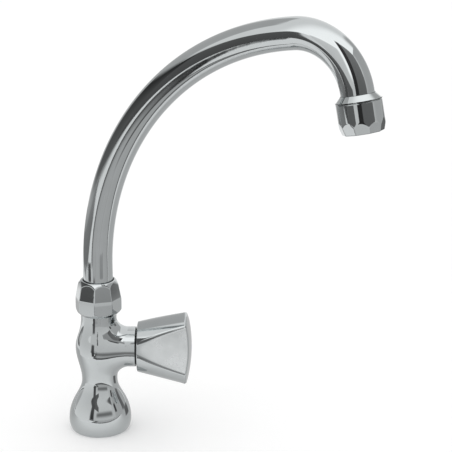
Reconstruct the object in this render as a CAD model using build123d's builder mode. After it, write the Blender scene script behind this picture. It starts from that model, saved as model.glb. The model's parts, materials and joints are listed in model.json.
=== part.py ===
"""Basin tap with a swivelling swan-neck spout and a side handle, as separate pieces.

Millimetres, +Z up. The origin is the centre of the foot's underside, where the tap stands on
the basin. At rest the spout points along +X and the valve is shut. The handle's branch leaves
the casting at handle_azimuth, measured from +X towards +Y.

Pieces that stand about the branch are given by their distance along it from the casting's axis.
Pieces that stand about the outlet are given by their distance below the top of the outlet sleeve.
"""

import os
from math import cos, radians, sin

from build123d import *

# Clearances
running_gap = 0.05  # radial gap between pieces that turn or slide in each other
seated_gap = 0.03  # radial gap between pieces that are pushed, brazed or screwed together
thread_gap = 0.05  # radial gap between the plain walls that stand for a screw thread
face_gap = 0.05  # gap between flat faces that move over each other
end_room = 0.4  # room left at the end of a stroke or of a screwed-in thread

# Numbers of sides and rings
hexagon_sides = 6
nut_sides = 8
seal_count = 2

# Casting
foot_radius = 19.4
belly_radius = 21.4
belly_height = 7.0
waist_radius = 12.15
waist_height = 36.5
bulge_radius = 16.1
neck_radius = 12.05
neck_start = 80.5
neck_top = 83.5
spigot_radius = 11.7
spigot_length = 14.0
branch_height = 59.75
branch_radius = 13.8
branch_reach = 25.4
branch_fillet = 7.0
branch_rim_chamfer = 0.5
handle_azimuth = 32.7

# Waterway through the casting
inlet_thread_radius = 9.32
inlet_thread_depth = 14.0
inlet_way_radius = 3.4
inlet_way_offset = 4.6
seat_way_radius = 3.8
outlet_way_radius = 2.9
outlet_way_offset = 5.5
chamber_floor = 5.0
socket_depth = 18.5
socket_chamfer = 0.4

# Seal under the foot
base_seal_inner_radius = 14.4
base_seal_width = 2.8
base_seal_thickness = 1.8

# Spout
tube_radius = 10.0
tube_wall = 1.0
spout_bend_start = 118.6
spout_bend_radius = 169.7
spout_bend_angle = 82.7
nose_bend_radius = 38.6
nose_bend_angle = 85.25
nose_straight = 1.1
tube_in_sleeve = 5.0

# Ferrule on the foot of the spout, with its washer and seals
thrust_washer_thickness = 1.0
ferrule_stub_radius = 8.4
ferrule_stub_length = 17.6
ferrule_bore_radius = 5.5
ferrule_flange_radius = 11.4
ferrule_flange_thickness = 2.0
ferrule_cup_height = 2.6
ferrule_spigot_height = 11.0
spout_seal_section = 0.75
spout_seal_first = 4.0
spout_seal_pitch = 6.5

# Union nut
nut_height = 24.3
nut_foot_gap = 0.3
nut_across_flats = 29.3
nut_corner_radius = 15.87
nut_foot_radius = 12.5
nut_foot_chamfer = 3.4
nut_flat_height = 10.7
nut_facet_taper = 10.0
nut_dome_radius = 17.0
nut_dome_start = 13.0
nut_lip_thickness = 1.6
nut_mouth_radius = 10.6
nut_flat_azimuth = 5.5
friction_ring_thickness = 1.2
friction_ring_split = 1.5
wiper_thickness = 1.5
wiper_outer_radius = 11.1

# Outlet sleeve and aerator
sleeve_radius = 13.6
sleeve_shoulder_radius = 10.4
sleeve_shoulder_height = 3.6
sleeve_rim_height = 0.5
sleeve_thread_radius = 11.9
sleeve_thread_length = 5.2
seam_gap = 0.15
seam_chamfer = 0.3
housing_length = 18.15
housing_flats = 10
housing_flat_radius = 11.7
housing_flat_slope = 16.0
housing_flat_azimuth = 7.7
housing_bore_radius = 9.8
housing_lip_radius = 8.9
housing_lip_height = 1.9
aerator_seal_thickness = 0.7
aerator_seal_inner_radius = 8.2
insert_bore_radius = 8.3
insert_plate_thickness = 1.6
insert_hole_radius = 0.6
insert_outer_circle = 6.2
insert_outer_holes = 16
insert_inner_circle = 3.3
insert_inner_holes = 8
screen_thickness = 0.8
screen_cell = 1.7
screen_bar = 0.35

# Headwork: bonnet, gasket and valve seat
bonnet_thread_radius = 9.25
bonnet_start = 9.2
bonnet_hex_across_flats = 22.0
bonnet_hex_thickness = 4.5
bonnet_nose_radius = 7.0
bonnet_nose_length = 7.1
gasket_thickness = 1.0
gasket_outer_radius = 12.3
seat_outer_radius = 5.5
seat_sunk = 3.0
seat_lip = 1.0
seat_lip_radius = 5.2

# Spindle
spindle_radius = 4.0
spindle_thread_radius = 3.4
spindle_collar_radius = 5.5
spindle_collar_thickness = 2.1
spindle_shoulder_length = 1.0
spindle_spline_length = 10.0
spindle_end_gap = 1.0
spindle_spline_grooves = 12
spindle_spline_depth = 0.45
spindle_seal_section = 0.55
spindle_seal_first = 1.4
spindle_seal_pitch = 2.7
nose_washer_thickness = 0.5
nose_washer_radius = 6.3
circlip_thickness = 0.7
circlip_radius = 5.2
circlip_groove_depth = 0.7
circlip_split = 2.0
end_screw_radius = 1.65

# Valve carrier, which slides in the bonnet and holds the seat washer
valve_lift = 5.0
carrier_across_flats = 11.1
carrier_plate_radius = 5.5
carrier_plate_thickness = 2.0
carrier_length = 14.45
carrier_thread_length = 8.5
seat_washer_radius = 5.4
seat_washer_thickness = 2.5
washer_screw_radius = 1.5
washer_screw_head_radius = 3.0
washer_screw_head_height = 1.8
washer_screw_length = 6.3

# Handle
knob_gap = 0.95
knob_small_radius = 17.17
knob_large_radius = 25.45
knob_length = 33.6
knob_dome_radius = 95.0
knob_edge_fillet = 1.2
scoop_count = 3
scoop_distance = 17.65
scoop_radius = 80.0
scoop_azimuth = 47.3
knob_cavity_radius = 14.6
knob_end_wall = 4.0
hub_radius = 7.4
hub_start = 1.6
hub_web_thickness = 2.4
hub_web_hole_radius = 2.2
insert_radius = 5.5
handle_screw_length = 11.0
screw_head_radius = 3.6
screw_head_height = 2.4
screw_well_radius = 4.3
cap_radius = 7.0
cap_thickness = 2.6
cap_skirt_length = 2.5
cap_skirt_wall = 0.9
dot_radius = 2.4
dot_thickness = 0.5
slot_width = 1.0
slot_depth = 1.0

# Where the pieces stand
branch_direction = Vector(cos(radians(handle_azimuth)), sin(radians(handle_azimuth)), 0)
branch_across = Vector(-sin(radians(handle_azimuth)), cos(radians(handle_azimuth)), 0)
branch_origin = Vector(0, 0, branch_height)
branch_axis = Axis(branch_origin, branch_direction)
branch_side = Plane(origin=branch_origin, x_dir=branch_direction, z_dir=-branch_across)

# Line that the spout's tube follows, from the bend's start to the sleeve's top
with BuildLine(Plane.XZ) as spout_line:
    spout_bend = JernArc((0, spout_bend_start), (0, 1), spout_bend_radius, -spout_bend_angle)
    nose_bend = JernArc(spout_bend @ 1, spout_bend % 1, nose_bend_radius, -nose_bend_angle)

outlet_direction = nose_bend % 1
outlet_origin = nose_bend @ 1 + outlet_direction * nose_straight
outlet_axis = Axis(outlet_origin, outlet_direction)
outlet_side = Plane(origin=outlet_origin, x_dir=outlet_direction, z_dir=(0, 1, 0))


def branch_face(distance):
    """Plane square to the branch, its Y upwards, at a distance from the casting's axis."""
    origin = branch_origin + branch_direction * distance
    return Plane(origin=origin, x_dir=branch_across, z_dir=branch_direction)


def outlet_face(distance):
    """Plane square to the outlet, facing the flow, at a distance below the sleeve's top."""
    return Plane(
        origin=outlet_origin + outlet_direction * distance,
        x_dir=(0, 1, 0),
        z_dir=outlet_direction,
    )


def turned_outline(*steps):
    """Closed outline of a shaft, each of whose steps has a start, an end and a radius."""
    points = [(steps[0][0], 0)]
    for start, end, radius in steps:
        points += [(start, radius), (end, radius)]
    points.append((steps[-1][1], 0))
    return points


def flat_ring(face, inner_radius, outer_radius, thickness, split=0):
    """Flat ring that rises from a face, cut through on one side where split is given."""
    with BuildPart() as ring:
        with BuildSketch(face):
            Circle(outer_radius)
            Circle(inner_radius, mode=Mode.SUBTRACT)
            if split:
                with Locations((-outer_radius, 0)):
                    Rectangle(2 * outer_radius, split, mode=Mode.SUBTRACT)
        extrude(amount=thickness)
    return ring


def round_ring(side, axis, centre, section):
    """Ring of round section, turned about an axis from a centre on the side plane."""
    with BuildPart() as ring:
        with BuildSketch(side):
            with Locations(centre):
                Circle(section)
        revolve(axis=axis)
    return ring


# Heights about the casting's axis, from the neck up
spigot_top = neck_top + spigot_length
socket_radius = ferrule_stub_radius + running_gap
flange_bottom = spigot_top + thrust_washer_thickness + face_gap
tube_bottom = flange_bottom + ferrule_flange_thickness
cup_top = tube_bottom + ferrule_cup_height
stub_bottom = flange_bottom - ferrule_stub_length
nut_bottom = neck_top + nut_foot_gap
nut_top = nut_bottom + nut_height
nut_thread_radius = spigot_radius + thread_gap
friction_ring_bottom = cup_top + 2 * face_gap
nut_shoulder = friction_ring_bottom + friction_ring_thickness + face_gap
nut_lip_bottom = nut_top - nut_lip_thickness

# Distances along the branch, from the casting's axis
chamber_radius = bonnet_thread_radius + thread_gap
seat_face = chamber_floor + seat_lip
washer_face = seat_face + face_gap
plate_start = washer_face + seat_washer_thickness
carrier_end = plate_start + carrier_length
carrier_thread_start = carrier_end - carrier_thread_length
spindle_start = carrier_thread_start + valve_lift + end_room
collar_start = carrier_end + valve_lift + end_room
collar_end = collar_start + spindle_collar_thickness
guide_end = collar_end + face_gap
gasket_end = branch_reach + gasket_thickness
bonnet_hex_end = gasket_end + bonnet_hex_thickness
bonnet_end = bonnet_hex_end + bonnet_nose_length
nose_washer_start = bonnet_end + face_gap
circlip_start = nose_washer_start + nose_washer_thickness + face_gap
circlip_end = circlip_start + circlip_thickness
spindle_end = circlip_end + spindle_shoulder_length + spindle_spline_length
knob_start = branch_reach + knob_gap
knob_rim = knob_start + knob_length
hub_foot = circlip_end + hub_start
web_start = spindle_end + spindle_end_gap
web_end = web_start + hub_web_thickness



def below_dome(radius):
    """How far the knob's domed end lies below its middle at a radius."""
    return knob_dome_radius - (knob_dome_radius**2 - radius**2) ** 0.5


knob_end = knob_rim + below_dome(knob_large_radius)
cap_start = knob_end - cap_thickness
dot_end = knob_end - below_dome(dot_radius)

# Casting: one flowing outline turned about Z, with the branch blended into it
with BuildPart() as body_casting:
    with BuildSketch(Plane.XZ):
        with BuildLine():
            Line((0, 0), (foot_radius, 0))
            TangentArc((belly_radius, belly_height), (foot_radius, 0), tangent=(0, -1))
            Spline(
                (belly_radius, belly_height),
                (waist_radius, waist_height),
                (bulge_radius, branch_height),
                (neck_radius, neck_start),
                tangents=[(0, 1)] * 4,
            )
            Polyline(
                (neck_radius, neck_start),
                (neck_radius, neck_top),
                (spigot_radius, neck_top),
                (spigot_radius, spigot_top),
                (0, spigot_top),
                (0, 0),
            )
        make_face()
    revolve(axis=Axis.Z)
    with BuildSketch(branch_face(0)):
        Circle(branch_radius)
    extrude(amount=branch_reach)
    fillet(body_casting.edges(Select.NEW), radius=branch_fillet)
    chamfer(body_casting.edges().sort_by(branch_axis)[-1], length=branch_rim_chamfer)

    # Inlet thread and the way up to the back of the seat
    with BuildSketch(Plane.XY):
        Circle(inlet_thread_radius)
    extrude(amount=inlet_thread_depth, mode=Mode.SUBTRACT)
    with BuildSketch(Plane.XY):
        with Locations(branch_direction * -inlet_way_offset):
            Circle(inlet_way_radius)
    extrude(amount=branch_height + inlet_way_radius, mode=Mode.SUBTRACT)

    # Seat way, seat recess and valve chamber along the branch
    with BuildSketch(branch_face(-inlet_way_offset)):
        Circle(seat_way_radius)
    extrude(amount=inlet_way_offset + chamber_floor, mode=Mode.SUBTRACT)
    with BuildSketch(branch_face(chamber_floor - seat_sunk)):
        Circle(seat_outer_radius + thread_gap)
    extrude(amount=seat_sunk, mode=Mode.SUBTRACT)
    with BuildSketch(branch_face(chamber_floor)):
        Circle(chamber_radius)
    extrude(amount=branch_reach - chamber_floor, mode=Mode.SUBTRACT)

    # Socket for the spout, and the way up to it from the chamber
    with BuildSketch(Plane.XY.offset(spigot_top)):
        Circle(socket_radius)
    extrude(amount=-socket_depth, mode=Mode.SUBTRACT)
    with BuildSketch(Plane.XY.offset(spigot_top - socket_depth)):
        with Locations(branch_direction * outlet_way_offset):
            Circle(outlet_way_radius)
    way_bottom = branch_height + chamber_radius - outlet_way_radius
    extrude(amount=way_bottom - (spigot_top - socket_depth), mode=Mode.SUBTRACT)
    mouth = body_casting.edges().filter_by(GeomType.CIRCLE).group_by(Axis.Z)[-1].sort_by(SortBy.RADIUS)[0]
    chamfer(mouth, length=socket_chamfer)

    # Groove for the seal under the foot
    with BuildSketch(Plane.XY):
        Circle(base_seal_inner_radius + base_seal_width + seated_gap)
        Circle(base_seal_inner_radius - seated_gap, mode=Mode.SUBTRACT)
    extrude(amount=base_seal_thickness + face_gap, mode=Mode.SUBTRACT)

base_seal = flat_ring(
    Plane.XY,
    base_seal_inner_radius,
    base_seal_inner_radius + base_seal_width,
    base_seal_thickness,
)

# Valve seat: a bush screwed into the wall of the chamber, with a raised lip
with BuildPart() as valve_seat:
    with BuildSketch(branch_side):
        with BuildLine():
            Polyline(
                *turned_outline(
                    (chamber_floor - seat_sunk, chamber_floor, seat_outer_radius),
                    (chamber_floor, seat_face, seat_lip_radius),
                ),
                close=True,
            )
        make_face()
    revolve(axis=branch_axis)
    with BuildSketch(branch_face(seat_face)):
        Circle(seat_way_radius)
    extrude(amount=-(seat_sunk + seat_lip), mode=Mode.SUBTRACT)

# Bonnet: screwed into the branch, hexagonal inside where it guides the carrier
with BuildPart() as bonnet:
    with BuildSketch(branch_side):
        with BuildLine():
            Polyline(
                *turned_outline(
                    (bonnet_start, gasket_end, bonnet_thread_radius),
                    (gasket_end, bonnet_end, bonnet_nose_radius),
                ),
                close=True,
            )
        make_face()
    revolve(axis=branch_axis)
    with BuildSketch(branch_face(gasket_end)):
        RegularPolygon(bonnet_hex_across_flats / 2, hexagon_sides, major_radius=False)
    extrude(amount=bonnet_hex_thickness)
    with BuildSketch(branch_face(bonnet_start)):
        RegularPolygon(carrier_across_flats / 2 + running_gap, hexagon_sides, major_radius=False)
    extrude(amount=guide_end - bonnet_start, mode=Mode.SUBTRACT)
    with BuildSketch(branch_face(guide_end)):
        Circle(spindle_radius + running_gap)
    extrude(amount=bonnet_end - guide_end, mode=Mode.SUBTRACT)

bonnet_gasket = flat_ring(
    branch_face(branch_reach),
    bonnet_thread_radius + thread_gap,
    gasket_outer_radius,
    gasket_thickness,
)

# Union nut: an octagon whose facets lean in and fade out in a turned dome
nut_turn = nut_flat_azimuth + 180 / nut_sides
with BuildPart() as nut_facets:
    with BuildSketch(Plane.XY.offset(nut_bottom)):
        RegularPolygon(nut_across_flats / 2, nut_sides, major_radius=False, rotation=nut_turn)
    extrude(amount=nut_flat_height)
    with BuildSketch(Plane.XY.offset(nut_bottom + nut_flat_height)):
        RegularPolygon(nut_across_flats / 2, nut_sides, major_radius=False, rotation=nut_turn)
    extrude(amount=nut_height - nut_flat_height, taper=nut_facet_taper)

dome_centre_radius = nut_corner_radius - nut_dome_radius
dome_height = nut_height - nut_dome_start
nut_rim_radius = dome_centre_radius + (nut_dome_radius**2 - dome_height**2) ** 0.5

with BuildPart() as spout_union_nut:
    with BuildSketch(Plane.XZ):
        with BuildLine():
            Polyline(
                (0, nut_top),
                (0, nut_bottom),
                (nut_foot_radius, nut_bottom),
                (nut_corner_radius, nut_bottom + nut_foot_chamfer),
                (nut_corner_radius, nut_bottom + nut_dome_start),
            )
            TangentArc(
                (nut_corner_radius, nut_bottom + nut_dome_start),
                (nut_rim_radius, nut_top),
                tangent=(0, 1),
            )
            Line((nut_rim_radius, nut_top), (0, nut_top))
        make_face()
    revolve(axis=Axis.Z)
    add(nut_facets.part, mode=Mode.INTERSECT)
    with BuildSketch(Plane.XY.offset(nut_bottom)):
        Circle(nut_thread_radius)
    extrude(amount=nut_shoulder - nut_bottom, mode=Mode.SUBTRACT)
    with BuildSketch(Plane.XY.offset(nut_shoulder)):
        Circle(wiper_outer_radius + seated_gap)
    extrude(amount=nut_lip_bottom - nut_shoulder, mode=Mode.SUBTRACT)
    with BuildSketch(Plane.XY.offset(nut_lip_bottom)):
        Circle(nut_mouth_radius)
    extrude(amount=nut_lip_thickness, mode=Mode.SUBTRACT)

thrust_washer = flat_ring(
    Plane.XY.offset(spigot_top),
    socket_radius + socket_chamfer,
    ferrule_flange_radius,
    thrust_washer_thickness,
)
friction_ring = flat_ring(
    Plane.XY.offset(friction_ring_bottom),
    tube_radius + 2 * running_gap,
    ferrule_flange_radius,
    friction_ring_thickness,
    split=friction_ring_split,
)
wiper_ring = flat_ring(
    Plane.XY.offset(nut_lip_bottom - wiper_thickness),
    tube_radius + running_gap,
    wiper_outer_radius,
    wiper_thickness,
)

# Spout: one tube, bent twice, that leans a little outwards at its end
with BuildPart() as spout_tube:
    with BuildLine(Plane.XZ):
        Line((0, tube_bottom), (0, spout_bend_start))
        add(spout_line.line)
        Line(nose_bend @ 1, outlet_origin + outlet_direction * tube_in_sleeve)
    with BuildSketch(Plane.XY.offset(tube_bottom)):
        Circle(tube_radius)
        Circle(tube_radius - tube_wall, mode=Mode.SUBTRACT)
    sweep()

# Ferrule: brazed into the foot of the tube, and turning in the casting's socket
seal_groove_radius = ferrule_stub_radius - 2 * spout_seal_section
seal_heights = [
    stub_bottom + spout_seal_first + step * spout_seal_pitch for step in range(seal_count)
]
with BuildPart() as spout_ferrule:
    with BuildSketch(Plane.XZ):
        with BuildLine():
            Polyline(
                (ferrule_bore_radius, stub_bottom),
                (ferrule_stub_radius, stub_bottom),
                (ferrule_stub_radius, flange_bottom),
                (ferrule_flange_radius, flange_bottom),
                (ferrule_flange_radius, cup_top),
                (tube_radius + seated_gap, cup_top),
                (tube_radius + seated_gap, tube_bottom),
                (tube_radius - tube_wall - seated_gap, tube_bottom),
                (tube_radius - tube_wall - seated_gap, tube_bottom + ferrule_spigot_height),
                (ferrule_bore_radius, tube_bottom + ferrule_spigot_height),
                close=True,
            )
        make_face()
        for height in seal_heights:
            with Locations((ferrule_stub_radius, height)):
                Rectangle(
                    2 * (ferrule_stub_radius - seal_groove_radius) + 2 * seated_gap,
                    2 * (spout_seal_section + seated_gap),
                    mode=Mode.SUBTRACT,
                )
    revolve(axis=Axis.Z)

lower_spout_seal, upper_spout_seal = [
    round_ring(
        Plane.XZ,
        Axis.Z,
        (ferrule_stub_radius - spout_seal_section, height),
        spout_seal_section,
    )
    for height in seal_heights
]

# Outlet sleeve: brazed over the end of the tube, a shoulder with the aerator's thread below it
sleeve_rim_end = sleeve_shoulder_height + sleeve_rim_height
sleeve_length = sleeve_rim_end + sleeve_thread_length
with BuildPart() as outlet_sleeve:
    with BuildSketch(outlet_side):
        with BuildLine():
            Polyline(
                (0, tube_radius + seated_gap),
                (0, sleeve_shoulder_radius),
                (sleeve_shoulder_height, sleeve_radius),
                (sleeve_rim_end - seam_chamfer, sleeve_radius),
                (sleeve_rim_end, sleeve_radius - seam_chamfer),
                (sleeve_rim_end, sleeve_thread_radius),
                (sleeve_length, sleeve_thread_radius),
                (sleeve_length, tube_radius - tube_wall),
                (tube_in_sleeve + seated_gap, tube_radius - tube_wall),
                (tube_in_sleeve + seated_gap, tube_radius + seated_gap),
                close=True,
            )
        make_face()
    revolve(axis=outlet_axis)

# Aerator housing: screwed over the sleeve's thread, with flats round its foot for a spanner
housing_start = sleeve_rim_end + seam_gap
housing_end = housing_start + housing_length
housing_shoulder = sleeve_length + aerator_seal_thickness + 2 * face_gap
housing_lip_start = housing_end - housing_lip_height
housing_turn = 90 - housing_flat_azimuth + 180 / housing_flats  # the face's X is world +Y
with BuildPart() as housing_facets:
    with BuildSketch(outlet_face(housing_end)):
        RegularPolygon(
            housing_flat_radius, housing_flats, major_radius=False, rotation=housing_turn
        )
    extrude(amount=-housing_length, taper=-housing_flat_slope)

with BuildPart() as aerator_housing:
    with BuildSketch(outlet_side):
        with BuildLine():
            Polyline(
                (housing_start, sleeve_thread_radius + thread_gap),
                (housing_start, sleeve_radius - seam_chamfer),
                (housing_start + seam_chamfer, sleeve_radius),
                (housing_end, sleeve_radius),
                (housing_end, housing_lip_radius),
                (housing_lip_start, housing_lip_radius),
                (housing_lip_start, housing_bore_radius),
                (housing_shoulder, housing_bore_radius),
                (housing_shoulder, sleeve_thread_radius + thread_gap),
                close=True,
            )
        make_face()
    revolve(axis=outlet_axis)
    add(housing_facets.part, mode=Mode.INTERSECT)

aerator_seal = flat_ring(
    outlet_face(sleeve_length + face_gap),
    aerator_seal_inner_radius,
    sleeve_thread_radius,
    aerator_seal_thickness,
)

# Aerator insert: a moulded cup whose top plate breaks the water into jets
insert_outer_radius = housing_bore_radius - running_gap
insert_end = housing_lip_start
with BuildPart() as aerator_insert:
    with BuildSketch(outlet_face(housing_shoulder)):
        Circle(insert_outer_radius)
    extrude(amount=insert_end - housing_shoulder)
    with BuildSketch(outlet_face(housing_shoulder + insert_plate_thickness)):
        Circle(insert_bore_radius)
    extrude(amount=insert_end - housing_shoulder - insert_plate_thickness, mode=Mode.SUBTRACT)
    with BuildSketch(outlet_face(housing_shoulder)):
        with PolarLocations(insert_outer_circle, insert_outer_holes):
            Circle(insert_hole_radius)
        with PolarLocations(insert_inner_circle, insert_inner_holes):
            Circle(insert_hole_radius)
    extrude(amount=insert_plate_thickness, mode=Mode.SUBTRACT)

# Screen that the water leaves through: square holes in a thin round plate
screen_radius = insert_bore_radius - running_gap
screen_count = 2 * int(screen_radius / screen_cell) + 1
with BuildPart() as aerator_screen:
    with BuildSketch(outlet_face(insert_end - 2 * screen_thickness)):
        Circle(screen_radius)
        with BuildSketch(mode=Mode.PRIVATE) as screen_field:
            with GridLocations(screen_cell, screen_cell, screen_count, screen_count):
                Rectangle(screen_cell - screen_bar, screen_cell - screen_bar)
            Circle(screen_radius - 2 * screen_bar, mode=Mode.INTERSECT)
        add(screen_field.sketch, mode=Mode.SUBTRACT)
    extrude(amount=screen_thickness)

# Spindle: its thread moves the carrier, its collar stops it from rising
spindle_seal_floor = spindle_radius - 2 * spindle_seal_section - seated_gap
spindle_seals = [
    guide_end + spindle_seal_first + step * spindle_seal_pitch for step in range(seal_count)
]
with BuildPart() as spindle:
    with BuildSketch(branch_side):
        with BuildLine():
            Polyline(
                *turned_outline(
                    (spindle_start, collar_start, spindle_thread_radius),
                    (collar_start, collar_end, spindle_collar_radius),
                    (collar_end, circlip_start - face_gap, spindle_radius),
                    (
                        circlip_start - face_gap,
                        circlip_end + face_gap,
                        spindle_radius - circlip_groove_depth,
                    ),
                    (circlip_end + face_gap, spindle_end, spindle_radius - running_gap),
                ),
                close=True,
            )
        make_face()
        for along in spindle_seals:
            with Locations((along, spindle_radius)):
                Rectangle(
                    2 * (spindle_seal_section + seated_gap),
                    2 * (spindle_radius - spindle_seal_floor),
                    mode=Mode.SUBTRACT,
                )
    revolve(axis=branch_axis)
    with BuildSketch(branch_face(spindle_end)):
        with PolarLocations(spindle_radius, spindle_spline_grooves):
            Rectangle(2 * spindle_spline_depth, 2 * spindle_spline_depth)
        Circle(end_screw_radius + thread_gap)
    extrude(amount=-spindle_spline_length, mode=Mode.SUBTRACT)

inner_spindle_seal, outer_spindle_seal = [
    round_ring(
        branch_side, branch_axis, (along, spindle_radius - spindle_seal_section), spindle_seal_section
    )
    for along in spindle_seals
]
nose_washer = flat_ring(
    branch_face(nose_washer_start),
    spindle_radius + running_gap,
    nose_washer_radius,
    nose_washer_thickness,
)
spindle_circlip = flat_ring(
    branch_face(circlip_start),
    spindle_radius - circlip_groove_depth + seated_gap,
    circlip_radius,
    circlip_thickness,
    split=circlip_split,
)

# Valve carrier: hexagonal, so that the bonnet keeps it from turning
with BuildPart() as valve_carrier:
    with BuildSketch(branch_face(plate_start)):
        Circle(carrier_plate_radius)
    extrude(amount=carrier_plate_thickness)
    with BuildSketch(branch_face(plate_start + carrier_plate_thickness)):
        RegularPolygon(carrier_across_flats / 2, hexagon_sides, major_radius=False)
    extrude(amount=carrier_length - carrier_plate_thickness)
    with BuildSketch(branch_face(carrier_end)):
        Circle(spindle_thread_radius + thread_gap)
    extrude(amount=-carrier_thread_length, mode=Mode.SUBTRACT)
    with BuildSketch(branch_face(plate_start)):
        Circle(washer_screw_radius + thread_gap)
    extrude(amount=washer_screw_length - seat_washer_thickness, mode=Mode.SUBTRACT)

seat_washer = flat_ring(
    branch_face(washer_face),
    washer_screw_radius + thread_gap,
    seat_washer_radius,
    seat_washer_thickness,
)

with BuildPart() as washer_screw:
    with BuildSketch(branch_side):
        with BuildLine():
            Polyline(
                *turned_outline(
                    (washer_face - washer_screw_head_height, washer_face, washer_screw_head_radius),
                    (washer_face, washer_face + washer_screw_length - end_room, washer_screw_radius),
                ),
                close=True,
            )
        make_face()
    revolve(axis=branch_axis)
    with BuildSketch(branch_face(washer_face - washer_screw_head_height)):
        Rectangle(2 * washer_screw_head_radius, slot_width)
    extrude(amount=slot_depth, mode=Mode.SUBTRACT)

# Knob: a hollow cone with a domed end and three finger scoops. Its outline is turned from the
# middle of a lobe, which keeps the seam of the turned faces away from the scoops' edges.
lobe_azimuth = scoop_azimuth + 180 / scoop_count
lobe_across = branch_across * sin(radians(lobe_azimuth))
knob_side = Plane(
    origin=branch_origin,
    x_dir=branch_direction,
    z_dir=Vector(0, 0, cos(radians(lobe_azimuth))) - lobe_across,
)
with BuildPart() as handle_knob:
    with BuildSketch(knob_side):
        with BuildLine():
            Polyline(
                (knob_end, 0),
                (knob_start, 0),
                (knob_start, knob_small_radius),
                (knob_rim, knob_large_radius),
            )
            RadiusArc((knob_rim, knob_large_radius), (knob_end, 0), knob_dome_radius)
        make_face()
    revolve(axis=branch_axis)
    with BuildSketch(branch_face(knob_start)):
        with PolarLocations(scoop_distance + scoop_radius, scoop_count, start_angle=scoop_azimuth):
            Circle(scoop_radius)
    extrude(amount=knob_end - knob_start, mode=Mode.SUBTRACT)
    foot_edges = handle_knob.faces().sort_by(branch_axis)[0].edges()
    scoop_edges = [
        edge
        for edge in handle_knob.edges()
        if edge.geom_type != GeomType.LINE and edge not in foot_edges
    ]
    fillet(scoop_edges, radius=knob_edge_fillet)

    # Hollow, with a hub post left in the middle
    with BuildSketch(branch_face(knob_start)):
        Circle(knob_cavity_radius)
    extrude(amount=hub_foot - knob_start, mode=Mode.SUBTRACT)
    with BuildSketch(branch_face(hub_foot)):
        Circle(knob_cavity_radius)
        Circle(hub_radius, mode=Mode.SUBTRACT)
    extrude(amount=knob_end - knob_end_wall - hub_foot, mode=Mode.SUBTRACT)

    # Bore for the insert, hole and well for the screw, recess for the cap
    with BuildSketch(branch_face(hub_foot)):
        Circle(insert_radius + seated_gap)
    extrude(amount=web_start - hub_foot, mode=Mode.SUBTRACT)
    with BuildSketch(branch_face(web_start)):
        Circle(hub_web_hole_radius)
    extrude(amount=hub_web_thickness, mode=Mode.SUBTRACT)
    with BuildSketch(branch_face(web_end)):
        Circle(screw_well_radius)
    extrude(amount=cap_start - web_end, mode=Mode.SUBTRACT)
    with BuildSketch(branch_face(cap_start)):
        Circle(cap_radius + seated_gap)
    extrude(amount=cap_thickness, mode=Mode.SUBTRACT)

# Insert in the knob's hub, toothed inside to fit the splines of the spindle
insert_bore_wall = spindle_radius - running_gap + seated_gap
insert_tooth = 2 * (spindle_spline_depth - seated_gap)
with BuildPart() as spline_insert:
    with BuildSketch(branch_face(hub_foot)):
        Circle(insert_radius)
        Circle(insert_bore_wall, mode=Mode.SUBTRACT)
        with PolarLocations(spindle_radius, spindle_spline_grooves):
            Rectangle(insert_tooth, insert_tooth)
    extrude(amount=web_start - hub_foot)

# Screw that holds the knob on the spindle
with BuildPart() as handle_screw:
    with BuildSketch(branch_side):
        with BuildLine():
            Polyline(
                *turned_outline(
                    (web_end - handle_screw_length, web_end, end_screw_radius),
                    (web_end, web_end + screw_head_height, screw_head_radius),
                ),
                close=True,
            )
        make_face()
    revolve(axis=branch_axis)
    with BuildSketch(branch_face(web_end + screw_head_height)):
        Rectangle(2 * screw_head_radius, slot_width)
    extrude(amount=-slot_depth, mode=Mode.SUBTRACT)

# Cap over the screw, its face carrying on the knob's dome
cap_skirt_radius = screw_well_radius - seated_gap
with BuildPart() as index_cap:
    with BuildSketch(branch_side):
        with BuildLine():
            Polyline(
                (knob_end, 0),
                (cap_start, 0),
                (cap_start, cap_skirt_radius - cap_skirt_wall),
                (cap_start - cap_skirt_length, cap_skirt_radius - cap_skirt_wall),
                (cap_start - cap_skirt_length, cap_skirt_radius),
                (cap_start, cap_skirt_radius),
                (cap_start, cap_radius),
                (knob_end - below_dome(cap_radius), cap_radius),
            )
            RadiusArc(
                (knob_end - below_dome(cap_radius), cap_radius), (knob_end, 0), knob_dome_radius
            )
        make_face()
    revolve(axis=branch_axis)
    with BuildSketch(branch_face(dot_end - dot_thickness)):
        Circle(dot_radius + seated_gap)
    extrude(amount=knob_end - dot_end + dot_thickness, mode=Mode.SUBTRACT)

with BuildPart() as index_dot:
    with BuildSketch(branch_face(dot_end - dot_thickness)):
        Circle(dot_radius)
    extrude(amount=dot_thickness)

pieces = {
    "body_casting": body_casting,
    "base_seal": base_seal,
    "valve_seat": valve_seat,
    "bonnet": bonnet,
    "bonnet_gasket": bonnet_gasket,
    "spout_union_nut": spout_union_nut,
    "thrust_washer": thrust_washer,
    "friction_ring": friction_ring,
    "wiper_ring": wiper_ring,
    "spout_tube": spout_tube,
    "spout_ferrule": spout_ferrule,
    "lower_spout_seal": lower_spout_seal,
    "upper_spout_seal": upper_spout_seal,
    "outlet_sleeve": outlet_sleeve,
    "aerator_housing": aerator_housing,
    "aerator_seal": aerator_seal,
    "aerator_insert": aerator_insert,
    "aerator_screen": aerator_screen,
    "spindle": spindle,
    "inner_spindle_seal": inner_spindle_seal,
    "outer_spindle_seal": outer_spindle_seal,
    "nose_washer": nose_washer,
    "spindle_circlip": spindle_circlip,
    "valve_carrier": valve_carrier,
    "seat_washer": seat_washer,
    "washer_screw": washer_screw,
    "handle_knob": handle_knob,
    "spline_insert": spline_insert,
    "handle_screw": handle_screw,
    "index_cap": index_cap,
    "index_dot": index_dot,
}

os.makedirs("parts", exist_ok=True)
for name, piece in pieces.items():
    piece.part.label = name
    export_step(piece.part, f"parts/{name}.step")
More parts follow.
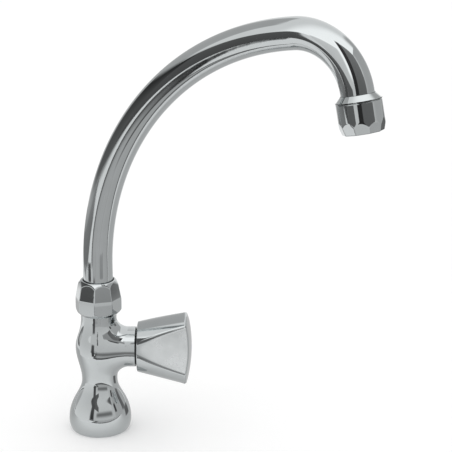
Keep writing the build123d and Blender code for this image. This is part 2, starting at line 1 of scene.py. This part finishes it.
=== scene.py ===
"""Looks for the basin tap: chrome skins over the CAD frame, a studio and the camera.

The skins are worked out in millimetres. Everything in the scene is in metres, with +Z up.
"""

import json
from math import cos, inf, pi, radians, sin, sqrt

import bpy
import numpy as np
from mathutils import Matrix, Vector


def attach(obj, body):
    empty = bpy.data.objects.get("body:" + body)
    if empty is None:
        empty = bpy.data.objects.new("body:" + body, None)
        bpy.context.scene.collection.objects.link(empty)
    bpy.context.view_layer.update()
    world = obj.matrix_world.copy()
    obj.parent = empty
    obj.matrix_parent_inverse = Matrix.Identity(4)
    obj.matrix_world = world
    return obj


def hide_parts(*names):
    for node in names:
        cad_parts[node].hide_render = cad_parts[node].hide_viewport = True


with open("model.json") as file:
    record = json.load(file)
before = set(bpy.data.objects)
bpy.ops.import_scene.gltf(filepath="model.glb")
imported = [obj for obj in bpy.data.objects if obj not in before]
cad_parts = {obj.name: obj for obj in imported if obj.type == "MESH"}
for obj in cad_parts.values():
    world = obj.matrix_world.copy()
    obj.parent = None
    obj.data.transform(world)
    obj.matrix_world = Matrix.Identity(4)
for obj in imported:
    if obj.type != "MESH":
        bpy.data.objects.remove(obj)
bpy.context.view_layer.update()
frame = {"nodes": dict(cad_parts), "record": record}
nodes = frame["nodes"]
MM = 0.001


# Shape tools. A form is a function of x, y and z in millimetres that is below 0 inside the form.


def unit(v):
    v = np.asarray(v, float)
    return v / np.linalg.norm(v)


def place(origin, x, z):
    """4x4 matrix of a local frame: its X and Z axes in world directions."""
    x, z = unit(x), unit(z)
    m = np.eye(4)
    m[:3, 0], m[:3, 1], m[:3, 2], m[:3, 3] = x, np.cross(z, x), z, origin
    return m


def around(start, count):
    """Angles of a number of sides, evenly spaced all the way round."""
    return [start + k * 2 * pi / count for k in range(count)]


def add_object(name, data):
    obj = bpy.data.objects.new(name, data)
    bpy.context.scene.collection.objects.link(obj)
    return obj


def make_object(name, points, faces, normals, matrix=None):
    """Mesh object in metres from points in millimetres, with its exact normals."""
    points, normals = np.asarray(points, float), np.asarray(normals, float)
    if matrix is not None:
        points = points @ matrix[:3, :3].T + matrix[:3, 3]
        normals = normals @ matrix[:3, :3].T
    mesh = bpy.data.meshes.new(name)
    mesh.from_pydata((points * MM).tolist(), [], np.asarray(faces).tolist())
    mesh.polygons.foreach_set("use_smooth", [True] * len(mesh.polygons))
    length = np.maximum(np.linalg.norm(normals, axis=1), 1e-9)[:, None]
    mesh.normals_split_custom_set_from_vertices((normals / length).tolist())
    mesh.validate()
    return add_object(name, mesh)


def round_max(a, b, r):
    """Intersection of two forms, with its edge rounded to a radius."""
    outer = np.sqrt(np.maximum(a + r, 0) ** 2 + np.maximum(b + r, 0) ** 2)
    return np.minimum(np.maximum(a, b), -r) + outer


def round_min(a, b, r):
    """Union of two forms, with its inner corner filled to a radius."""
    return -round_max(-a, -b, r)


def rod(distance, radius, h, low=-inf, high=inf):
    """Rod of a radius about a line, given the distance from it, between two heights."""
    return np.maximum(distance - radius, np.maximum(low - h, h - high))


def cut(f, *holes):
    """Form with holes taken out of it."""
    for hole in holes:
        f = np.maximum(f, -hole)
    return f


def gradient(f, p, e=0.02):
    """Slope of a form at points, measured over a small distance e."""
    g = np.empty_like(p)
    for k in range(3):
        d = np.zeros(3)
        d[k] = e
        g[:, k] = (f(*(p + d).T) - f(*(p - d).T)) / (2 * e)
    return g


def surface(name, f, low, high, step, matrix=None):
    """Closed quad mesh of a form's surface within a box, from a grid with the given step."""
    axes = [np.arange(a - step, b + 2 * step, step) for a, b in zip(low, high)]
    grid = np.meshgrid(*axes, indexing="ij")
    value = f(*[g.ravel() for g in grid]).reshape(grid[0].shape)
    inside = value < 0

    # One point in each cell that the surface crosses: the mean of where it crosses the edges.
    n = np.array(value.shape) - 1
    total, count = np.zeros((*n, 3)), np.zeros(n)
    for axis in range(3):
        others = [k for k in range(3) if k != axis]
        for i in (0, 1):
            for j in (0, 1):
                at = [slice(0, -1)] * 3
                at[others[0]] = slice(i, n[others[0]] + i)
                at[others[1]] = slice(j, n[others[1]] + j)
                to = list(at)
                to[axis] = slice(1, None)
                a, b = value[tuple(at)], value[tuple(to)]
                cross = inside[tuple(at)] != inside[tuple(to)]
                t = np.where(cross, a / np.where(cross, a - b, 1), 0)
                for k in range(3):
                    total[..., k] += cross * (grid[k][tuple(at)] + (step * t if k == axis else 0))
                count += cross
    used = count > 0
    index = np.full(n, -1)
    index[used] = np.arange(used.sum())
    p = total[used] / count[used][:, None]

    # The points are pulled onto the surface, each time by half a step at most.
    pulls, least_slope = 4, 0.05
    for _ in range(pulls):
        g = gradient(f, p)
        move = (f(*p.T) / np.maximum((g**2).sum(1), least_slope))[:, None] * g
        size = np.linalg.norm(move, axis=1)[:, None]
        p -= move * np.minimum(1, 0.5 * step / np.maximum(size, 1e-9))

    # One face for each grid edge that the surface crosses, from the four cells round the edge.
    faces = []
    for axis in range(3):
        u, v = (axis + 1) % 3, (axis + 2) % 3
        at = [slice(1, -1)] * 3
        at[axis] = slice(0, -1)
        to = list(at)
        to[axis] = slice(1, None)
        first, second = inside[tuple(at)], inside[tuple(to)]
        for flip in (False, True):
            hit = (~first & second) if flip else (first & ~second)
            cell = np.argwhere(hit)
            cell[:, [k for k in range(3) if k != axis]] += 1
            corner = []
            for du, dv in ((1, 1), (0, 1), (0, 0), (1, 0)):
                c = cell.copy()
                c[:, u] -= du
                c[:, v] -= dv
                corner.append(index[tuple(c.T)])
            quad = np.stack(corner, 1)
            faces.append(quad[:, ::-1] if flip else quad)
    return make_object(name, p, np.concatenate(faces), gradient(f, p), matrix)


def rounded(corners, radius, steps=5):
    """Points and outward normals of a closed outline with rounded corners.

    A corner is (height, radius), or (height, radius, its own rounding).
    """
    points, normals = [], []
    count = len(corners)
    for i in range(count):
        a, b, c = (np.array(corners[(i + k) % count][:2], float) for k in (-1, 0, 1))
        size = corners[i][2] if len(corners[i]) > 2 else radius
        before, after = unit(a - b), unit(c - b)
        turn = np.arccos(np.clip(-before @ after, -1, 1))
        room = 0.45 * min(np.linalg.norm(a - b), np.linalg.norm(c - b))
        trim = min(size * np.tan(turn / 2), room)
        size = trim / np.tan(turn / 2) if turn > 1e-3 else 0
        n0, n1 = np.array([before[1], -before[0]]), np.array([-after[1], after[0]])
        side = 1 if before[0] * after[1] - before[1] * after[0] < 0 else -1
        centre = b + before * trim - n0 * size * side
        for k in range(steps + 1):
            s = k / steps
            n = n0 * np.sin((1 - s) * turn) + n1 * np.sin(s * turn)
            n = unit(n) if np.linalg.norm(n) > 1e-9 else n0
            points.append(centre + n * size * side)
            normals.append(n)
    return np.array(points), np.array(normals)


def turned(name, corners, matrix, radius=0.2, segments=160):
    """Closed outline of (height, radius) corners turned about the local Z axis."""
    outline, out = rounded(corners, radius)
    angle = np.linspace(0, 2 * pi, segments, endpoint=False)
    ca, sa = np.cos(angle)[:, None], np.sin(angle)[:, None]
    p = np.stack([ca * outline[:, 1], sa * outline[:, 1], 0 * ca + outline[:, 0]], 2)
    q = np.stack([ca * out[:, 1], sa * out[:, 1], 0 * ca + out[:, 0]], 2)
    rows, cols = p.shape[:2]
    i, j = np.meshgrid(np.arange(rows), np.arange(cols), indexing="ij")
    near, far = (i + 1) % rows, (j + 1) % cols
    faces = np.stack([i * cols + j, near * cols + j, near * cols + far, i * cols + far], 2)
    return make_object(name, p.reshape(-1, 3), faces.reshape(-1, 4), q.reshape(-1, 3), matrix)


# Sizes that the skins share with the CAD, in millimetres

# The branch that carries the handle: its bearing, and the directions along and across it
branch_turn = radians(32.7)
branch_height, branch_radius, branch_reach, branch_fillet = 59.75, 13.8, 25.4, 7.0
along = np.array([cos(branch_turn), sin(branch_turn), 0])
across = np.array([-sin(branch_turn), cos(branch_turn), 0])
branch = place((0, 0, branch_height), across, along)

# The spout: upright from inside the nut, then a long bend, a tight nose, and a straight end that
# runs on inside the sleeve
tube_low, bend_start, tube_r, tube_wall = 102.8, 118.6, 10.0, 1.0
bend_r, bend_turn, nose_r, nose_turn = 169.7, radians(82.7), 38.6, radians(85.25)
straight, in_sleeve = 1.1, 4.8


def spout_path(step=1.0, nose_step=0.5):
    """Points (x, z) along the spout, and how far it has turned from upright at each."""
    points, turns = [], []
    for z in np.arange(tube_low, bend_start, step):
        points.append((0, z))
        turns.append(0.0)
    for a in np.linspace(0, bend_turn, int(bend_r * bend_turn / step)):
        points.append((bend_r * (1 - cos(a)), bend_start + bend_r * sin(a)))
        turns.append(a)
    cx = points[-1][0] + nose_r * cos(bend_turn)
    cz = points[-1][1] - nose_r * sin(bend_turn)
    for a in np.linspace(0, nose_turn, int(nose_r * nose_turn / nose_step))[1:]:
        points.append((cx - nose_r * cos(bend_turn + a), cz + nose_r * sin(bend_turn + a)))
        turns.append(bend_turn + a)
    end = bend_turn + nose_turn
    x, z = points[-1]
    for s in (straight, straight + in_sleeve / 2, straight + in_sleeve):
        points.append((x + s * sin(end), z + s * cos(end)))
        turns.append(end)
    return np.array(points), np.array(turns)


path, path_turn = spout_path()
outlet_turn = path_turn[-1]
outlet_down = np.array([sin(outlet_turn), 0, cos(outlet_turn)])
outlet_x, outlet_z = path[-3]
outlet = place((outlet_x, 0, outlet_z), (0, 1, 0), outlet_down)


# Body casting

# The rounded foot: its top, its largest radius, and the radius of its rounding
foot_high, foot_r, foot_round = 7, 21.4, 13.25
# Height and radius of the foot, the waist, the bulge and the neck
knots = ((foot_high, foot_r), (36.5, 12.15), (branch_height, 16.1), (80.5, 12.05))
# How fast each curve between two of them starts and ends along Z, which sets how round it is
speeds = ((46.35, 31.09), (23.74, 23.71), (21.19, 28.28))
# The spigot inside the nut
spigot_low, spigot_high, spigot_r = 83.5, 97.5, 11.7
# Where the two upright waterways stand along the branch
inlet_way_u, outlet_way_u = -4.6, 5.5


def body_radius(z):
    """Radius of the casting's turned outline at a height."""
    t = np.linspace(0, 1, 400)
    ease, first, second = 3 * t**2 - 2 * t**3, t**3 - 2 * t**2 + t, t**3 - t**2
    zs, rs = [], []
    for (z0, r0), (z1, r1), (m0, m1) in zip(knots, knots[1:], speeds):
        zs.append(z0 + (z1 - z0) * ease + m0 * first + m1 * second)
        rs.append(r0 + (r1 - r0) * ease)
    middle = np.interp(z, np.concatenate(zs), np.concatenate(rs))
    foot = foot_r - foot_round + np.sqrt(np.maximum(foot_round**2 - (z - foot_high) ** 2, 0))
    return np.where(z < foot_high, foot, middle)


table_z = np.arange(-3, 110, 0.02)
table_r = body_radius(table_z)
table_slope = np.gradient(table_r, table_z)


def casting(x, y, z):
    rho = np.hypot(x, y)
    u, v = x * along[0] + y * along[1], x * across[0] + y * across[1]
    from_arm = np.hypot(v, z - branch_height)
    r, slope = np.interp(z, table_z, table_r), np.interp(z, table_z, table_slope)
    body = (rho - r) / np.sqrt(1 + slope**2)
    f = np.where(u > 0, round_min(body, from_arm - branch_radius, branch_fillet), body)
    f = round_max(f, u - branch_reach, 0.6)
    spigot = round_max(rho - spigot_r, z - spigot_high, 0.4)
    f = np.where(z > spigot_low, spigot, f)
    f = np.maximum(f, z - spigot_high)
    f = round_max(f, -z, 0.5)
    return cut(
        f,
        rod(rho, 9.32, z, high=14),  # inlet
        rod(np.hypot(u - inlet_way_u, v), 3.4, z, high=63.15),  # way up to the valve
        rod(np.abs(rho - 15.8), 1.43, z, high=1.85),  # groove for the base seal
        rod(from_arm, 3.8, u, inlet_way_u, outlet_way_u),  # way to the valve seat
        rod(from_arm, 5.55, u, 2.0, outlet_way_u),  # bore for the valve seat
        rod(from_arm, 9.3, u, low=5.0),  # chamber for the bonnet
        rod(np.hypot(u - outlet_way_u, v), 2.9, z, 66.15, 79.5),  # way up to the spout
        rod(rho, 8.45, z, low=79.0),  # socket for the spout's ferrule
    )


casting_skin = surface("casting_skin", casting, (-22, -22, 0), (30, 27, spigot_high), 0.55)


# Union nut

nut_low, nut_high, nut_r, nut_sides, nut_turn = 83.8, 108.1, 15.87, 8, radians(5.5)
# Its turned dome: the height above its foot where it starts, and the radius of its arc
nut_dome_low, nut_dome_r = 13.0, 17.0
# Its foot: the radius at the bottom, and the rise and run of the cone above
nut_foot_r, nut_foot_rise, nut_foot_run = 12.5, 3.4, 3.37
# Its flats: their distance from the axis, and from which height they lean in
nut_flat_r, nut_lean_low, nut_lean = 14.65, 10.7, radians(10.0)
# Its inside: the thread's radius and top, and the mouth round the tube
nut_bore_r, nut_bore_high, nut_mouth_r = 11.75, 104.6, 10.6


def nut(x, y, z):
    rho, h = np.hypot(x, y), z - nut_low
    arc = np.hypot(rho - (nut_r - nut_dome_r), h - nut_dome_low) - nut_dome_r
    dome = np.where(h > nut_dome_low, arc, rho - nut_r)
    foot = (rho - nut_foot_r) * nut_foot_rise - h * nut_foot_run
    f = round_max(dome, foot / sqrt(nut_foot_rise**2 + nut_foot_run**2), 0.7)
    for a in around(nut_turn, nut_sides):
        side = x * cos(a) + y * sin(a) - nut_flat_r
        top = side * cos(nut_lean) + (h - nut_lean_low) * sin(nut_lean)
        f = round_max(f, round_max(side, top, 0.3), 0.22)
    f = round_max(f, h - (nut_high - nut_low), 0.45)
    f = round_max(f, -h, 0.3)
    f = cut(f, rod(rho, nut_bore_r, z, high=nut_bore_high))
    return round_max(f, nut_mouth_r - rho, 0.25)


nut_skin = surface("union_nut_skin", nut, (-17, -17, nut_low), (17, 17, nut_high), 0.33)


# Spout tube


def tube(name, segments=128):
    """Hollow tube along the spout's path: its outside, then its inside on the way back."""
    angle = np.linspace(0, 2 * pi, segments, endpoint=False)
    t = path_turn[:, None]
    out = np.stack(
        [np.cos(t) * np.cos(angle), 0 * t + np.sin(angle), -np.sin(t) * np.cos(angle)], 2
    )
    centre = np.stack([path[:, 0], 0 * path[:, 0], path[:, 1]], 1)[:, None, :]
    outer, inner = centre + out * tube_r, centre + out * (tube_r - tube_wall)
    p, q = np.concatenate([outer, inner[::-1]]), np.concatenate([out, -out[::-1]])
    n, cols = p.shape[:2]
    i, j = np.meshgrid(np.arange(n), np.arange(cols), indexing="ij")
    near, far = (i + 1) % n, (j + 1) % cols
    faces = np.stack([i * cols + j, i * cols + far, near * cols + far, near * cols + j], 2)
    return make_object(name, p.reshape(-1, 3), faces.reshape(-1, 4), q.reshape(-1, 3))


tube_skin = tube("spout_tube_skin")


# Outlet sleeve and aerator housing, with heights measured down from the sleeve's top

sleeve_skin = turned(
    "outlet_sleeve_skin",
    [
        (0, 10.02),
        (0, 10.4, 0.15),
        (3.6, 13.6, 0.3),
        (4.1, 13.6, 0.25),
        (4.1, 11.9),
        (9.3, 11.9),
        (9.3, 9.0),
        (5.05, 9.0),
        (5.05, 10.02),
    ],
    outlet,
)

housing_low, housing_high, housing_r = 4.25, 22.4, 13.6
# Its flats: how many, their bearing, and how they lean in to their distance at the mouth
flats, flats_turn, flats_lean, flats_r = 10, radians(90 - 7.7), radians(16.0), 11.7
# Its inside: the thread round the sleeve, the insert's bore and the mouth
thread_r, thread_high, insert_r, insert_high, mouth_r = 11.95, 10.1, 9.8, 20.5, 8.9


def housing(x, y, h):
    rho = np.hypot(x, y)
    f = round_max(rho - housing_r, housing_low - h, 0.35)
    for a in around(flats_turn, flats):
        flat = x * cos(a) + y * sin(a) - flats_r - (housing_high - h) * np.tan(flats_lean)
        f = round_max(f, flat * cos(flats_lean), 0.3)
    f = round_max(f, h - housing_high, 0.5)
    f = cut(f, rod(rho, insert_r, h, high=insert_high), rod(rho, thread_r, h, high=thread_high))
    return round_max(f, mouth_r - rho, 0.3)


housing_box = (-14, -14, housing_low), (14, 14, housing_high)
housing_skin = surface("aerator_housing_skin", housing, *housing_box, 0.3, outlet)


# Handle knob, with u measured along the branch from the casting's axis

knob_low, knob_rim, knob_small, knob_large, dome_r = 26.35, 59.95, 17.17, 25.45, 95.0
knob_high = knob_rim + dome_r - sqrt(dome_r**2 - knob_large**2)
cone_slope = (knob_large - knob_small) / (knob_rim - knob_low)
# Its finger scoops: how many, their bearing, and the radius of the cylinders that cut them and
# their distance from the knob's axis
scoops, scoop_turn, scoop_r, scoop_at = 3, radians(47.3), 80.0, 97.65


def scoop_depths(x, y):
    """How deep points lie in the cylinder of each scoop."""
    return [
        scoop_r - np.hypot(x - scoop_at * cos(a), y - scoop_at * sin(a))
        for a in around(scoop_turn, scoops)
    ]


def knob(x, y, u):
    rho = np.hypot(x, y)
    f = (rho - knob_small - (u - knob_low) * cone_slope) / sqrt(1 + cone_slope**2)
    for scoop in scoop_depths(x, y):
        f = round_max(f, scoop, 1.2)
    dome = np.sqrt(rho**2 + (u - knob_high + dome_r) ** 2) - dome_r
    f = round_max(f, dome, 1.4)
    f = round_max(f, knob_low - u, 0.4)
    hollow = round_max(rho - 14.6, u - (knob_high - 4.0), 0.5)
    post = rod(rho, 7.4, u, low=40.9)
    return cut(
        f,
        cut(hollow, post),  # room inside, round the post that holds the insert
        rod(rho, 5.53, u, 40.0, 51.3),  # bore for the spline insert
        rod(rho, 2.2, u, 51.0, 54.0),  # hole for the screw
        rod(rho, 4.3, u, low=53.7),  # well for the screw's head
        rod(rho, 7.05, u, low=knob_high - 2.6),  # seat for the cap
    )


knob_skin = surface("knob_skin", knob, (-26, -26, knob_low), (26, 26, knob_high), 0.45, branch)

for piece, node, body in (
    (casting_skin, "body_casting", "tap_body"),
    (nut_skin, "spout_union_nut", "tap_body"),
    (tube_skin, "spout_tube", "spout"),
    (sleeve_skin, "outlet_sleeve", "spout"),
    (housing_skin, "aerator_housing", "spout"),
    (knob_skin, "handle_knob", "handle"),
):
    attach(piece, body)
    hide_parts(node)

# Satin finish and painted sheen on the knob at each point: 1 in its scoops, 0 elsewhere, fading
# at their edge
satin_and_sheen_fade = 0.4
spots = np.empty(3 * len(knob_skin.data.vertices))
knob_skin.data.vertices.foreach_get("co", spots)
spots = (spots.reshape(-1, 3) / MM - branch[:3, 3]) @ branch[:3, :3]
satin = np.zeros(len(spots))
for depth in scoop_depths(spots[:, 0], spots[:, 1]):
    satin = np.maximum(satin, np.clip(1 + depth / satin_and_sheen_fade, 0, 1))
# This mark sets the satin roughness and also where the paler painted sheen goes.
knob_skin.data.attributes.new("satin", "FLOAT", "POINT").data.foreach_set("value", satin)


# Node tools


def new_material(name):
    mat = bpy.data.materials.new(name)
    mat.use_nodes = True
    return mat


def feed(node, inputs):
    """Give a node's inputs their values, or the outputs of other nodes."""
    for key, value in inputs.items():
        if isinstance(value, bpy.types.NodeSocket):
            node.id_data.links.new(value, node.inputs[key])
        else:
            node.inputs[key].default_value = value


def add_node(tree, kind, inputs=None, **settings):
    """New node in a tree, with its settings and its inputs."""
    node = tree.nodes.new(kind)
    for name, value in settings.items():
        setattr(node, name, value)
    feed(node, inputs or {})
    return node


def calculate(tree, operation, first, second=0.0):
    inputs = {0: first, 1: second}
    return add_node(tree, "ShaderNodeMath", inputs, operation=operation).outputs[0]


def ramp(tree, value, start, end, first=0.0, last=1.0, kind="SMOOTHSTEP"):
    """Value between start and end turned into one between first and last."""
    limits = {"Value": value, "From Min": start, "From Max": end, "To Min": first, "To Max": last}
    node = add_node(tree, "ShaderNodeMapRange", limits, interpolation_type=kind)
    return node.outputs["Result"]


def noise(tree, scale, detail):
    """Noise that stays on a piece when it moves. Its scale is in waves to the metre."""
    spot = add_node(tree, "ShaderNodeTexCoord").outputs["Object"]
    inputs = {"Vector": spot, "Scale": scale, "Detail": detail}
    return add_node(tree, "ShaderNodeTexNoise", inputs).outputs["Fac"]


# Materials

bump_height = 0.0002


def material(name, color, metallic, roughness, scale, spread, bump, bump_scale, tint=0.06):
    """Procedural finish: its colour, roughness and bump vary with noise at real scales."""
    mat = new_material(name)
    tree = mat.node_tree
    cloud, cloud_ends = noise(tree, scale, 4.0), (0.3, 0.7)
    colors = add_node(tree, "ShaderNodeValToRGB", {"Fac": cloud})
    for element, end, share in zip(colors.color_ramp.elements, cloud_ends, (1 - tint, 1 + tint)):
        element.position = end
        element.color = (*(c * share for c in color), 1)
    least, most = roughness - spread, roughness + spread
    relief = {"Strength": bump, "Distance": bump_height, "Height": noise(tree, bump_scale, 2.0)}
    finish = {
        "Metallic": metallic,
        "Roughness": ramp(tree, cloud, *cloud_ends, least, most, "LINEAR"),
        "Base Color": colors.outputs["Color"],
        "Normal": add_node(tree, "ShaderNodeBump", relief).outputs["Normal"],
    }
    feed(tree.nodes["Principled BSDF"], finish)
    return mat


# Each slot's colour, metallic, roughness, the scale and spread of its noise, its bump and the
# bump's scale, and how much its colour varies
looks = {
    "polished_chrome": ((0.54, 0.565, 0.57), 1.0, 0.05, 90, 0.02, 0.05, 120, 0.02),
    "turned_brass": ((0.78, 0.60, 0.30), 1.0, 0.26, 400, 0.08, 0.15, 900),
    "spring_steel": ((0.60, 0.61, 0.62), 1.0, 0.30, 500, 0.08, 0.15, 900),
    "black_rubber": ((0.025, 0.025, 0.026), 0.0, 0.55, 300, 0.1, 0.2, 1500),
    "white_plastic": ((0.80, 0.80, 0.78), 0.0, 0.42, 250, 0.06, 0.1, 1200, 0.03),
    "grey_plastic": ((0.34, 0.35, 0.36), 0.0, 0.45, 250, 0.06, 0.1, 1200),
    "blue_plastic": ((0.02, 0.12, 0.50), 0.0, 0.18, 250, 0.05, 0.05, 800),
}
finishes = {slot: material(slot, *look) for slot, look in looks.items()}
for part in frame["record"]["subparts"]:
    obj = nodes[part["node"]]
    obj.data.materials.clear()
    obj.data.materials.append(finishes[part["material_slot"]])
for piece in (casting_skin, nut_skin, tube_skin, sleeve_skin, housing_skin):
    piece.data.materials.append(finishes["polished_chrome"])

# The knob is the same chrome, but rougher and patchy where its mark says so, and painted paler
# there as a sheen that brightens the scoops.
knob_chrome = material("knob_chrome", *looks["polished_chrome"])
# The roughness here is the satin finish; the paler base colour is a painted sheen, not the
# metal's own colour.
satin_and_sheen_look = {"Roughness": (0.30, 0.30, 0.30, 1), "Base Color": (0.76, 0.785, 0.79, 1)}
tree = knob_chrome.node_tree
mark = add_node(tree, "ShaderNodeAttribute", attribute_name="satin").outputs["Fac"]
patchy = ramp(tree, noise(tree, 110, 5.0), 0.35, 0.65, 0.62, 1.0, "LINEAR")
share = calculate(tree, "MULTIPLY", mark, patchy)
for socket, value in satin_and_sheen_look.items():
    target = tree.nodes["Principled BSDF"].inputs[socket]
    blend = {"Factor": share, "A": target.links[0].from_socket, "B": value}
    mix = add_node(tree, "ShaderNodeMix", blend, data_type="RGBA")
    tree.links.new(mix.outputs["Result"], target)
knob_skin.data.materials.append(knob_chrome)


# Studio: a white floor and world, and panels for the chrome to reflect


def sheet(name, x, y):
    """Flat rectangle about the origin, from its two half sizes."""
    mesh = bpy.data.meshes.new(name)
    mesh.from_pydata([(-x, -y, 0), (x, -y, 0), (x, y, 0), (-x, y, 0)], [], [(0, 1, 2, 3)])
    return add_object(name, mesh)


floor = sheet("floor", 4, 4)
floor_white = new_material("floor")
paint = {
    "Base Color": (0.86, 0.86, 0.86, 1),
    "Roughness": 0.9,
    "Emission Color": (1, 1, 1, 1),
    "Emission Strength": 0.16,
}
feed(floor_white.node_tree.nodes["Principled BSDF"], paint)
floor.data.materials.append(floor_white)

world = bpy.data.worlds.new("studio")
bpy.context.scene.world = world
world.use_nodes = True
feed(world.node_tree.nodes["Background"], {"Color": (1, 1, 1, 1), "Strength": 1.0})


def card(name, turn, away, height, size, glow, edge, yaw=0, lying=False, rim=None):
    """Panel that only reflections see.

    It stands, or lies flat, at a height and a distance away from the tap's axis. Turn is its
    bearing in degrees, from the camera's side towards the right, and yaw turns its face. Its
    size is (width, height), with a soft edge. Its glow runs from its low or near edge to its
    other edge, and rim is (glow, width) of a border that fades into it.
    """
    width, tall = size
    obj = sheet(name, (width + edge) / 2, (tall + edge) / 2)
    at = radians(turn) + branch_turn - pi / 2
    facing = at + radians(yaw)
    out, side = Vector((cos(facing), sin(facing), 0)), Vector((-sin(facing), cos(facing), 0))
    rise = out if lying else Vector((0, 0, 1))
    obj.matrix_world = (
        Matrix.Translation((away * cos(at), away * sin(at), height))
        @ Matrix((side, rise, side.cross(rise))).transposed().to_4x4()
    )
    for kind in ("camera", "diffuse", "transmission", "volume_scatter", "shadow"):
        setattr(obj, "visible_" + kind, False)

    mat = new_material(name)
    tree = mat.node_tree
    tree.nodes.clear()
    spot = add_node(tree, "ShaderNodeTexCoord").outputs["Object"]
    x, y = add_node(tree, "ShaderNodeSeparateXYZ", {0: spot}).outputs[:2]
    inner_x = calculate(tree, "SUBTRACT", width / 2, calculate(tree, "ABSOLUTE", x))
    inner_y = calculate(tree, "SUBTRACT", tall / 2, calculate(tree, "ABSOLUTE", y))
    soft_x, soft_y = (ramp(tree, inner, -edge / 2, edge / 2) for inner in (inner_x, inner_y))
    light = ramp(tree, y, -tall / 2, tall / 2, *glow, "LINEAR")
    if rim:
        rim_glow, rim_width = rim
        inside = ramp(tree, calculate(tree, "MINIMUM", inner_x, inner_y), 0, rim_width)
        light = calculate(tree, "MULTIPLY", calculate(tree, "SUBTRACT", light, rim_glow), inside)
        light = calculate(tree, "ADD", light, rim_glow)
    clear = add_node(tree, "ShaderNodeBsdfTransparent").outputs[0]
    lamp = add_node(tree, "ShaderNodeEmission", {"Strength": light}).outputs[0]
    cover = calculate(tree, "MULTIPLY", soft_x, soft_y)
    mix = add_node(tree, "ShaderNodeMixShader", {0: cover, 1: clear, 2: lamp}).outputs[0]
    add_node(tree, "ShaderNodeOutputMaterial", {"Surface": mix})
    obj.data.materials.append(mat)


# Small panels near the tap, for the nut's flats, the foot and the casting
card("facet_left", -58, 0.060, 0.0985, (0.024, 0.014), (0.11, 0.13), 0.002)
card("facet_front", 29, 0.060, 0.101, (0.024, 0.013), (0.38, 0.44), 0.002)
card("foot_shade", 109, 0.060, 0.011, (0.024, 0.018), (0.15, 0.18), 0.004)
card("bar", 20, 0.085, 0.034, (0.09, 0.018), (0.20, 0.26), 0.016)
card("flag", -24, 0.098, 0.046, (0.022, 0.07), (0.05, 0.12), 0.008)
card("left_low", -67, 0.100, 0.0425, (0.13, 0.085), (1.00, 0.78), 0.004)

# Standing panels farther out
card("left_dark", -102, 0.240, 0.25, (0.42, 0.22), (0.17, 0.02), 0.060, yaw=12)
card("left_mid", -67, 0.243, 0.26, (0.35, 0.2), (0.10, 0.13), 0.012, yaw=12)
card("right_edge", 34, 0.272, 0.356, (0.045, 0.3), (0.03, 0.06), 0.006, yaw=-22)
card("window", 29, 0.304, 0.5362, (0.12, 0.491), (1.60, 1.54), 0.037, yaw=-25)
card("right_dark", 47, 0.314, 0.3559, (0.2, 0.298), (0.15, 0.29), 0.015, yaw=-35)
card("strip", 69, 0.330, 0.125, (0.045, 0.1), (0.05, 0.05), 0.020)
card("left_front", -8, 0.347, 0.2025, (0.26, 0.085), (0.15, 0.16), 0.008, yaw=-47)
card("front", 6, 0.386, 0.2259, (0.916, 0.543), (0.70, 0.92), 0.020, yaw=5)
card("right_low", 104, 0.450, 0.1266, (0.2, 0.191), (0.21, 0.16), 0.030, yaw=12)
card("left_wall", -131, 0.591, 0.64, (0.989, 1.24), (0.57, 0.55), 0.150, yaw=-9)
card("right_wall", 123, 0.612, 0.3464, (1.15, 0.785), (0.58, 0.54), 0.150, yaw=-48)

# Lying panels: a roof, the floor at both sides, and a table's bright top with its dark rim
table = {"size": (1, 1.2), "glow": (0.55, 0.80), "edge": 0.004, "lying": True}
card("roof", -3, 0.454, 0.55, (1.46, 0.568), (1.46, 1.60), 0.150, yaw=25, lying=True)
card("table", 41, 0.815, 0.001, yaw=-33, rim=(0.04, 0.034), **table)
card("floor_left", -113, 0.757, 0.001, (0.9, 0.82), (0.24, 0.42), 0.040, yaw=8, lying=True)
card("floor_right", 119, 0.325, 0.001, (0.354, 0.947), (0.58, 0.66), 0.066, yaw=-30, lying=True)
card("table_left", -13, 0.941, 0.0008, yaw=40, rim=(0.02, 0.060), **table)
card("table_join", 3, 0.567, 0.0012, (0.15, 0.7), (0.57, 0.71), 0.030, yaw=5, lying=True)


# Camera, at the photo's viewpoint

camera_at, pitch, roll = (0.5455, -0.6904, 0.4002), radians(16.17), radians(0.58)
camera_data = bpy.data.cameras.new("camera")
camera_data.lens, camera_data.sensor_width, camera_data.clip_end = 108.68, 36.0, 20
camera = add_object("camera", camera_data)
right = Vector((cos(branch_turn), sin(branch_turn), 0))
forward = Vector((-sin(branch_turn) * cos(pitch), cos(branch_turn) * cos(pitch), -sin(pitch)))
up = right.cross(forward)
view_x = right * cos(roll) + up * sin(roll)
view_y = up * cos(roll) - right * sin(roll)
view = Matrix((view_x, view_y, -forward)).transposed().to_4x4()
camera.matrix_world = Matrix.Translation(camera_at) @ view
bpy.context.scene.camera = camera
bpy.context.scene.view_settings.view_transform = "Standard"
